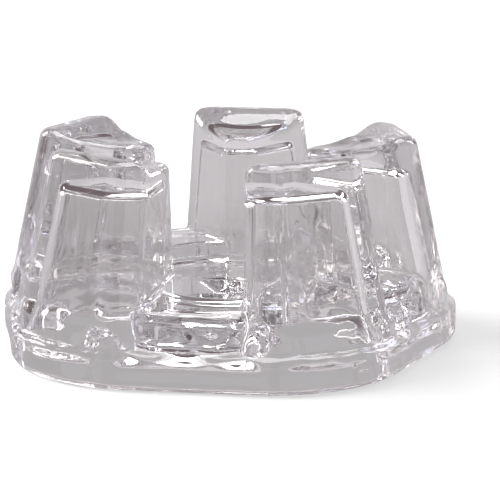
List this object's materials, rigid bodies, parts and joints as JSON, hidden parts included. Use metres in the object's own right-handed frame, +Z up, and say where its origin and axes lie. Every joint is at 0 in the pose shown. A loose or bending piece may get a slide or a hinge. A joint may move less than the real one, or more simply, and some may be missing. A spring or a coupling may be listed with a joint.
{
  "type": "flower frog",
  "caption": "Clear pressed-glass flower frog: lobed base, round central well, a ring of hollow wedge towers with stepped sloping tops, and low webs with gaps between for stems.",
  "frame": {"origin": "on the five-fold axis, on the floor of the well, 15.5 mm above the table", "axes": "+Z up out of the well; +Y from the axis to the middle of the back tower; +X to the right"},
  "size_m": [0.1218, 0.1193, 0.0544],
  "materials": {
    "glass": "fire-polished clear pressed glass, faint grey-violet tint"
  },
  "bodies": {
    "root": {"base": "glass", "tower_back": "glass", "tower_left": "glass", "tower_front_left": "glass", "tower_front_right": "glass", "tower_right": "glass", "web_back_left": "glass", "web_left": "glass", "web_front": "glass", "web_right": "glass", "web_back_right": "glass"}
  },
  "joints": []
}
